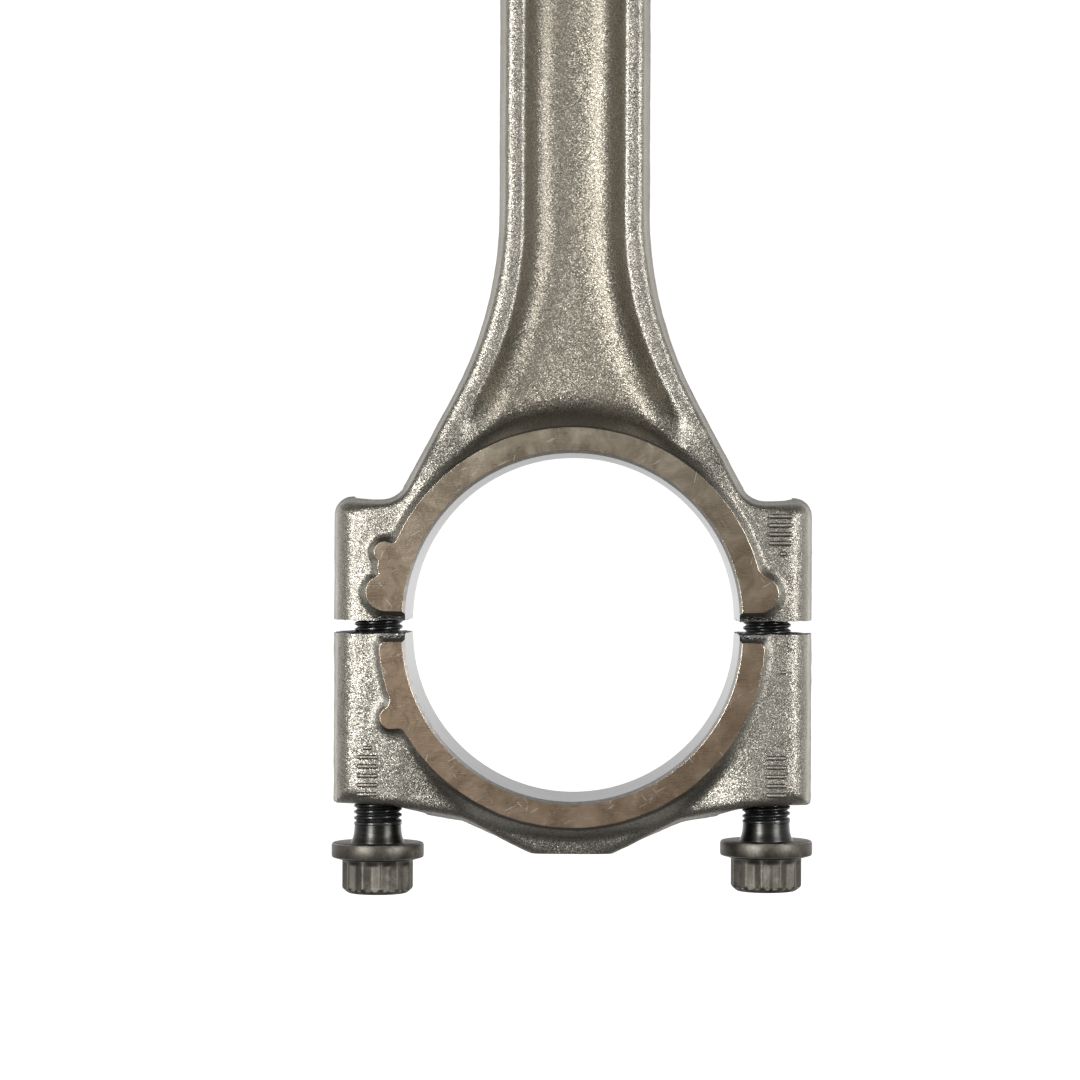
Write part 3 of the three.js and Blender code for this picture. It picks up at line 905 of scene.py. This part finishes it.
# ---- materials
class Nodes:
    """Short names for building the node tree of a material or a world."""

    def __init__(self, owner):
        owner.use_nodes = True
        self.owner = owner
        self.tree = owner.node_tree
        self.tree.nodes.clear()

    def add(self, kind, inputs=None, **settings):
        node = self.tree.nodes.new(kind)
        for key, value in settings.items():
            setattr(node, key, value)
        for key, value in (inputs or {}).items():
            socket = node.inputs[key]
            if isinstance(value, bpy.types.NodeSocket):
                self.tree.links.new(value, socket)
            else:
                socket.default_value = value
        return node

    def place(self):
        return self.add("ShaderNodeTexCoord").outputs["Object"]

    def noise(self, scale, detail=3.0, roughness=0.55, vector=None, distortion=0.0):
        inputs = {"Scale": scale, "Detail": detail, "Roughness": roughness, "Distortion": distortion}
        inputs["Vector"] = self.place() if vector is None else vector
        return self.add("ShaderNodeTexNoise", inputs).outputs["Fac"]

    def component(self, vector, axis):
        return self.add("ShaderNodeSeparateXYZ", {"Vector": vector}).outputs[axis]

    def cells(self, scale, smooth):
        inputs = {"Scale": scale, "Smoothness": smooth, "Vector": self.place()}
        node = self.add("ShaderNodeTexVoronoi", inputs, feature="SMOOTH_F1")
        return node.outputs["Distance"]

    def ramp(self, value, places, tones):
        """Blends from one tone to the next, each reached at its place."""
        node = self.add("ShaderNodeValToRGB", {"Fac": value})
        ramp = node.color_ramp
        while len(ramp.elements) < len(places):
            ramp.elements.new(0.5)
        for element, position, tone in zip(ramp.elements, places, tones):
            element.position = position
            element.color = (*tone, 1.0)
        return node.outputs["Color"]

    def range(self, value, low, high, to_low, to_high):
        inputs = {0: value, 1: low, 2: high, 3: to_low, 4: to_high}
        return self.add("ShaderNodeMapRange", inputs).outputs[0]

    def math(self, operation, a, b):
        return self.add("ShaderNodeMath", {0: a, 1: b}, operation=operation).outputs[0]

    def size_of(self, value):
        return self.math("ABSOLUTE", value, 0.0)

    def mix(self, factor, a, b):
        node = self.add("ShaderNodeMix", data_type="RGBA")
        for key, value in ((0, factor), (6, a), (7, b)):
            if isinstance(value, bpy.types.NodeSocket):
                self.tree.links.new(value, node.inputs[key])
            else:
                node.inputs[key].default_value = value if key == 0 else (*value, 1.0)
        return node.outputs[2]

    def bump(self, height, distance, strength, normal=None):
        inputs = {"Height": height, "Distance": distance, "Strength": strength}
        if normal is not None:
            inputs["Normal"] = normal
        return self.add("ShaderNodeBump", inputs).outputs["Normal"]

    def facets(self, scale, tilt, normal):
        """The normal, tilted at random from one small cell to the next."""
        inputs = {"Scale": scale, "Vector": self.place()}
        cell = self.add("ShaderNodeTexVoronoi", inputs).outputs["Color"]
        shift = self.vector_math("SUBTRACT", {0: cell, 1: (0.5, 0.5, 0.5)})
        shift = self.vector_math("SCALE", {0: shift, "Scale": tilt})
        return self.vector_math("NORMALIZE", {0: self.vector_math("ADD", {0: shift, 1: normal})})

    def vector_math(self, operation, inputs):
        return self.add("ShaderNodeVectorMath", inputs, operation=operation).outputs[0]

    def edge_wear_and_highlight(self, bevelled, amount):
        """Grows from 0 on flat ground to the given amount at an edge, which it lightens: partly rubbed
        wear, partly a painted highlight where the edge catches the light.
        """
        true = self.add("ShaderNodeNewGeometry").outputs["Normal"]
        turned_off = self.add("ShaderNodeVectorMath", {0: bevelled, 1: true}, operation="DOT_PRODUCT")
        return self.range(turned_off.outputs["Value"], 0.995, 0.94, 0.0, amount)

    def without_glare(self, tone):
        """Dulls a smooth face where it would mirror a softbox, which would burn it out to white."""
        toward = self.add("ShaderNodeTexCoord").outputs["Reflection"]
        toward = self.add("ShaderNodeSeparateXYZ", {"Vector": toward}).outputs
        spot = self.add("ShaderNodeNewGeometry").outputs["Position"]
        spot_height = self.component(spot, "Z")
        facing = 0.0
        for _, x, y, width, _ in SOFTBOXES:
            away = math.hypot(x, y)
            past = self.math("MULTIPLY", toward["X"], y / away)
            past = self.math("SUBTRACT", past, self.math("MULTIPLY", toward["Y"], x / away))
            half = width / 2 / away
            beside = self.range(self.size_of(past), half, half + 0.17, 1.0, 0.0)
            level = self.math("MULTIPLY", toward["Z"], away * MM)
            level = self.math("ADD", spot_height, level)
            above = self.range(level, -0.11, 0.0, 0.0, 0.92)
            facing = self.math("MAXIMUM", facing, self.math("MULTIPLY", beside, above))
        ahead = self.range(toward["Y"], -0.45, -0.15, 1.0, 0.0)
        facing = self.math("MULTIPLY", facing, ahead)
        return self.mix(facing, tone, (0.0, 0.0, 0.0))

    def stretched(self, scale, turn=(0.0, 0.0, 0.0)):
        """Object coordinates turned and scaled unevenly, for marks that run one way."""
        turned_place = self.add("ShaderNodeMapping", {"Vector": self.place(), "Rotation": turn})
        vector = turned_place.outputs["Vector"]
        node = self.add("ShaderNodeMapping", {"Vector": vector, "Scale": scale})
        return node.outputs["Vector"]

    def metal(self, colour, roughness, normal, metallic=1.0):
        inputs = {"Base Color": colour, "Roughness": roughness, "Normal": normal}
        shader = self.add("ShaderNodeBsdfPrincipled", inputs | {"Metallic": metallic})
        self.add("ShaderNodeOutputMaterial", {"Surface": shader.outputs[0]})
        return self.owner


def new_look(name):
    return Nodes(bpy.data.materials.new(name))


def forged_look():
    n = new_look("shot blasted forging")
    grain = n.noise(7600, 1.0, 0.6)
    patches = n.noise(110, 4.0, 0.6)
    tones = (0.095, 0.087, 0.071), (0.27, 0.248, 0.206), (0.50, 0.472, 0.415)
    tone = n.ramp(grain, (0.36, 0.5, 0.64), tones)
    tone = n.mix(n.range(patches, 0.3, 0.7, 0.0, 0.5), tone, (0.23, 0.21, 0.17))
    pits = n.range(n.cells(2300, 0.0), 0.10, 0.26, 1.0, 0.0)
    tone = n.mix(n.math("MULTIPLY", pits, 0.4), tone, (0.06, 0.055, 0.045))
    # Painted shade: the tone is darkened where the surface lies in a recess, found by ambient
    # occlusion, standing in for the shade on pocket walls and in corners.
    hollow = n.add("ShaderNodeAmbientOcclusion", {"Distance": 0.006}, samples=4).outputs["AO"]
    tone = n.mix(n.range(hollow, 0.45, 0.9, 0.62, 0.0), tone, (0.07, 0.062, 0.048))
    rough = n.range(patches, 0.3, 0.7, 0.39, 0.45)
    coarse = n.bump(n.noise(1100, 3.0, 0.6), 0.00006, 0.45)
    small = n.facets(8200, 0.42, n.facets(4200, 0.06, coarse))
    out = n.size_of(n.component(n.place(), "Y"))
    # Painted shade: a darker, olive tone on the sunken web and pocket floors near the middle plane.
    sunk_shade = n.range(out, 0.0035, 0.0065, 0.36, 0.0)
    tone = n.mix(sunk_shade, tone, (0.155, 0.120, 0.078))
    # A band just inside the thrust faces' level, at the foot of their walls: partly its own lighter,
    # rougher finish, and partly painted light, lighter where it faces sideways.
    lip = n.range(out, 0.01135, 0.0118, 0.0, 1.0)
    facing = n.component(n.add("ShaderNodeNewGeometry").outputs["Normal"], "Z")
    facing = n.size_of(facing)
    bright = n.math("MULTIPLY", lip, n.range(facing, 0.2, 0.6, 0.35, 0.0))
    tone = n.mix(bright, tone, (0.40, 0.38, 0.335))
    # Painted shade: where the band faces up or down it is darkened.
    updown_shade = n.math("MULTIPLY", lip, n.range(facing, 0.35, 0.7, 0.0, 0.8))
    tone = n.mix(updown_shade, tone, (0.06, 0.054, 0.04))
    rough = n.math("ADD", rough, n.math("MULTIPLY", lip, 0.12))
    return n.metal(tone, rough, small)


def thrust_look():
    n = new_look("ground thrust face")
    stain = n.noise(230, 5.0, 0.62, distortion=0.6)
    wide = n.noise(55, 3.0, 0.5)
    scratch = n.noise(1.0, 2.0, 0.6, n.stretched((420, 420, 9000)))
    tones = (0.28, 0.245, 0.18), (0.365, 0.325, 0.245), (0.455, 0.415, 0.33)
    tone = n.ramp(stain, (0.32, 0.5, 0.72), tones)
    lower = n.range(n.component(n.place(), "Z"), 0.075, 0.035, 0.15, 0.6)
    tone = n.mix(n.range(wide, 0.35, 0.65, 0.0, 0.35), tone, (0.335, 0.28, 0.21))
    tone = n.mix(lower, tone, (0.42, 0.265, 0.165))
    tone = n.mix(n.range(scratch, 0.60, 0.72, 0.0, 0.35), tone, (0.58, 0.54, 0.47))
    for turn, density in ((0.5, 0.735), (-0.9, 0.74), (1.35, 0.75)):
        marks = n.noise(1.0, 1.0, 0.5, n.stretched((260, 300, 4200), (0.0, turn, 0.0)))
        tone = n.mix(n.range(marks, density, density + 0.03, 0.0, 0.7), tone, (0.85, 0.81, 0.74))
    rough = n.range(stain, 0.3, 0.7, 0.24, 0.34)
    edge = n.add("ShaderNodeBevel", {"Radius": 0.00022}, samples=4).outputs[0]
    # Lighter edges of the ground face: partly wear, partly a painted highlight.
    tone = n.mix(n.edge_wear_and_highlight(edge, 0.4), tone, (0.62, 0.58, 0.50))
    normal = n.bump(scratch, 0.00003, 0.6, edge)
    normal = n.bump(n.noise(1500, 2.0), 0.00003, 0.5, normal)
    return n.metal(n.without_glare(tone), rough, normal)


def bored_look():
    n = new_look("honed bore")
    rings = n.noise(1.0, 2.0, 0.6, n.stretched((120, 7000, 120)))
    tone = n.mix(n.range(rings, 0.3, 0.7, 0.0, 0.6), (0.38, 0.38, 0.375), (0.50, 0.50, 0.495))
    blotch = n.range(n.noise(140, 3.0), 0.45, 0.75, 0.0, 0.3)
    tone = n.mix(blotch, tone, (0.30, 0.295, 0.28))
    return n.metal(tone, 0.42, n.bump(rings, 0.00002, 0.5))


def chamfer_look():
    n = new_look("turned chamfer")
    rings = n.noise(900, 2.0)
    tone = n.mix(n.range(rings, 0.3, 0.7, 0.0, 1.0), (0.42, 0.40, 0.37), (0.56, 0.54, 0.50))
    return n.metal(tone, 0.5, n.bump(rings, 0.00002, 0.4))


def cracked_look():
    n = new_look("fracture face")
    crystals = n.cells(2100, 0.05)
    tones = (0.03, 0.03, 0.028), (0.14, 0.138, 0.135), (0.27, 0.265, 0.26)
    tone = n.ramp(crystals, (0.0, 0.5, 1.0), tones)
    normal = n.bump(crystals, 0.0003, 1.0)
    return n.metal(tone, 0.42, n.bump(n.noise(900, 4.0), 0.0003, 0.8, normal))


def lined_look(name, tones, roughness, lay, fade, depth, strength):
    """Metal with fine marks: lay is how closely they follow one another along each axis."""
    n = new_look(name)
    marks = n.noise(1.0, 2.0, fade, n.stretched(lay))
    tone = n.mix(n.range(marks, 0.3, 0.7, 0.0, 1.0), *tones)
    return n.metal(tone, roughness, n.bump(marks, depth, strength))


def drilled_look():
    tones = (0.06, 0.058, 0.054), (0.16, 0.155, 0.146)
    return lined_look("drilled hole", tones, 0.36, (200, 200, 5200), 0.6, 0.00005, 0.7)


def milled_look():
    tones = (0.19, 0.18, 0.165), (0.30, 0.29, 0.272)
    return lined_look("milled foot", tones, 0.36, (4200, 260, 260), 0.55, 0.00003, 0.7)


def bronze_look(name, tone_a, tone_b, roughness):
    n = new_look(name)
    lay = n.noise(1.0, 3.0, 0.6, n.stretched((150, 5200, 150)))
    blotch = n.noise(160, 4.0)
    tone = n.mix(n.range(lay, 0.3, 0.7, 0.0, 1.0), tone_a, tone_b)
    tone = n.mix(n.range(blotch, 0.5, 0.75, 0.0, 0.5), tone, (0.22, 0.15, 0.075))
    return n.metal(n.without_glare(tone), roughness, n.bump(lay, 0.00002, 0.6))


def bolt_look():
    n = new_look("phosphated bolt head")
    grain = n.noise(3200, 3.0, 0.6)
    wear = n.noise(300, 4.0, 0.65)
    tones = (0.062, 0.055, 0.043), (0.125, 0.113, 0.092), (0.25, 0.23, 0.195)
    tone = n.ramp(wear, (0.3, 0.55, 0.75), tones)
    tone = n.mix(n.range(grain, 0.35, 0.65, 0.0, 0.4), tone, (0.062, 0.058, 0.053))
    edge = n.add("ShaderNodeBevel", {"Radius": 0.00026}, samples=4).outputs[0]
    # Lighter edges of the head and flange: partly rubbed wear, partly a painted highlight.
    tone = n.mix(n.edge_wear_and_highlight(edge, 0.9), tone, (0.70, 0.68, 0.62))
    rough = n.range(wear, 0.3, 0.7, 0.40, 0.54)
    return n.metal(tone, rough, n.bump(grain, 0.00004, 0.6, edge))


def neck_look():
    tones = (0.024, 0.023, 0.021), (0.05, 0.048, 0.044)
    return lined_look("rolled bolt neck", tones, 0.30, (300, 300, 6000), 0.6, 0.00002, 0.25)


def thread_look():
    n = new_look("oiled black thread")
    film = n.noise(900, 3.0)
    tone = n.ramp(film, (0.3, 0.7), ((0.02, 0.02, 0.02), (0.064, 0.063, 0.061)))
    return n.metal(tone, 0.26, n.bump(film, 0.00004, 0.6), 0.7)


# ---- stage, light and camera
def softbox(name, x, y, width, power):
    """An upright rectangle of light from the ground up, facing the object."""
    data = bpy.data.lights.new(name, "AREA")
    data.shape = "RECTANGLE"
    data.size = width * MM
    data.size_y = SOFTBOX_HEIGHT * MM
    data.energy = power
    data.color = SOFTBOX_COLOUR
    light = bpy.data.objects.new(name, data)
    bpy.context.scene.collection.objects.link(light)
    spot = Matrix.Translation(Vector((x, y, SOFTBOX_HEIGHT / 2)) * MM)
    light.matrix_world = spot @ Vector((-x, -y, 0)).to_track_quat("-Z", "Y").to_matrix().to_4x4()
    light.visible_camera = False


def pale_floor():
    """Pale paper to the camera, and a glow that grows with distance to everything else."""
    n = new_look("pale floor")
    soft = n.noise(3.0, 2.0)
    paper = n.mix(n.range(soft, 0.3, 0.7, 0.0, 1.0), (0.93, 0.93, 0.93), (0.95, 0.95, 0.95))
    seen = n.add("ShaderNodeLightPath").outputs["Is Camera Ray"]
    away = n.component(n.place(), "Y")
    near = n.range(away, 0.0, 0.1, FLOOR_DARK, FLOOR_BEHIND)
    far = n.math("ADD", near, n.range(away, 0.1, 1.5, 0.0, BACKDROP_LIGHT - FLOOR_BEHIND))
    shine = n.mix(seen, far, (0.85, 0.85, 0.85))
    matt = n.add("ShaderNodeBsdfDiffuse", {"Color": n.mix(seen, (0.05, 0.05, 0.05), paper)})
    glow = n.add("ShaderNodeEmission", {"Color": shine, "Strength": 1.0})
    both = n.add("ShaderNodeAddShader", {0: matt.outputs[0], 1: glow.outputs[0]})
    n.add("ShaderNodeOutputMaterial", {"Surface": both.outputs[0]})
    signs = ((-1, -1), (1, -1), (1, 1), (-1, 1))
    corners = [(i * FLOOR_HALF_SIZE, j * FLOOR_HALF_SIZE, FLOOR_LEVEL) for i, j in signs]
    floor = mesh_object("floor", corners, [(0, 1, 2, 3)])
    floor.data.materials.append(n.owner)


def studio():
    """White behind the object, softboxes beside the camera, and dark above, below and in front."""
    world = bpy.data.worlds.new("studio")
    bpy.context.scene.world = world
    n = Nodes(world)
    seen = n.add("ShaderNodeLightPath").outputs["Is Camera Ray"]
    toward = n.add("ShaderNodeTexCoord").outputs["Generated"]
    away = n.component(toward, "Y")
    up = n.component(toward, "Z")
    back = n.range(away, 0.1, 0.5, ROOM_DARK, n.range(up, -0.05, 0.3, BACKDROP_LIGHT, 0.55))
    beside = n.range(n.size_of(up), 0.25, 0.55, SIDE_GLOW, 0.0)
    beside = n.math("MULTIPLY", beside, n.range(away, -0.45, -0.15, 0.0, 1.0))
    back = n.math("MAXIMUM", back, beside)
    front = n.range(away, -0.97, -0.70, FRONT_FILL, 0.0)
    level = n.math("ADD", back, front)
    level = n.mix(seen, level, (1.05, 1.05, 1.05))
    sky = n.add("ShaderNodeBackground", {"Color": level, "Strength": 1.0})
    n.add("ShaderNodeOutputWorld", {"Surface": sky.outputs[0]})
    pale_floor()
    for name, x, y, width, power in SOFTBOXES:
        softbox(name, x, y, width, power)


def camera():
    """Square on to the front, level with the big end and slightly rolled."""
    data = bpy.data.cameras.new("camera")
    data.lens = CAMERA_LENS
    data.sensor_width = 36.0
    data.shift_x, data.shift_y = CAMERA_SHIFT
    data.clip_start = 0.01
    obj = bpy.data.objects.new("camera", data)
    bpy.context.scene.collection.objects.link(obj)
    stand = Matrix.Translation((Vector(CAMERA_PLACE) + Vector((0, 0, AXIS_HEIGHT))) * MM)
    roll = Matrix.Rotation(math.radians(CAMERA_ROLL), 4, "Z")
    obj.matrix_world = stand @ Matrix.Rotation(math.radians(90), 4, "X") @ roll
    bpy.context.scene.camera = obj


# ---- putting it together
forging_looks = [forged_look(), thrust_look(), bored_look(), chamfer_look(), cracked_look()]
forging_looks += [drilled_look(), milled_look()]
bolt_looks = [bolt_look(), neck_look(), thread_look()]
bush_looks = [
    bronze_look("turned bronze", (0.36, 0.25, 0.125), (0.46, 0.33, 0.18), 0.34),
    bronze_look("bored bronze", (0.44, 0.32, 0.17), (0.54, 0.40, 0.23), 0.24),
]

rod = build_rod()
finish_forging(rod, forging_looks, 1, [], 0)
cap = build_cap()
finish_forging(cap, forging_looks, -1, [-SEAT_DEPTH, -CAP_DEPTH], -SPLIT_GAP)
bush = build_bush()
finish_bush(bush, bush_looks)
for piece, body, node, slot in (
    (rod, "rod", "rod_body", "forged_steel"),
    (cap, "cap", "bearing_cap", "cap_steel"),
    (bush, "rod", "small_end_bush", "bush_bronze"),
):
    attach(piece, body)
    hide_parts(node)
for side in ("left", "right"):
    bolt = build_bolt(side)
    finish_bolt(bolt, side, bolt_looks)
    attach(bolt, f"{side}_bolt")
    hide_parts(f"{side}_cap_bolt")

studio()
camera()
bpy.context.scene.view_settings.view_transform = "Standard"
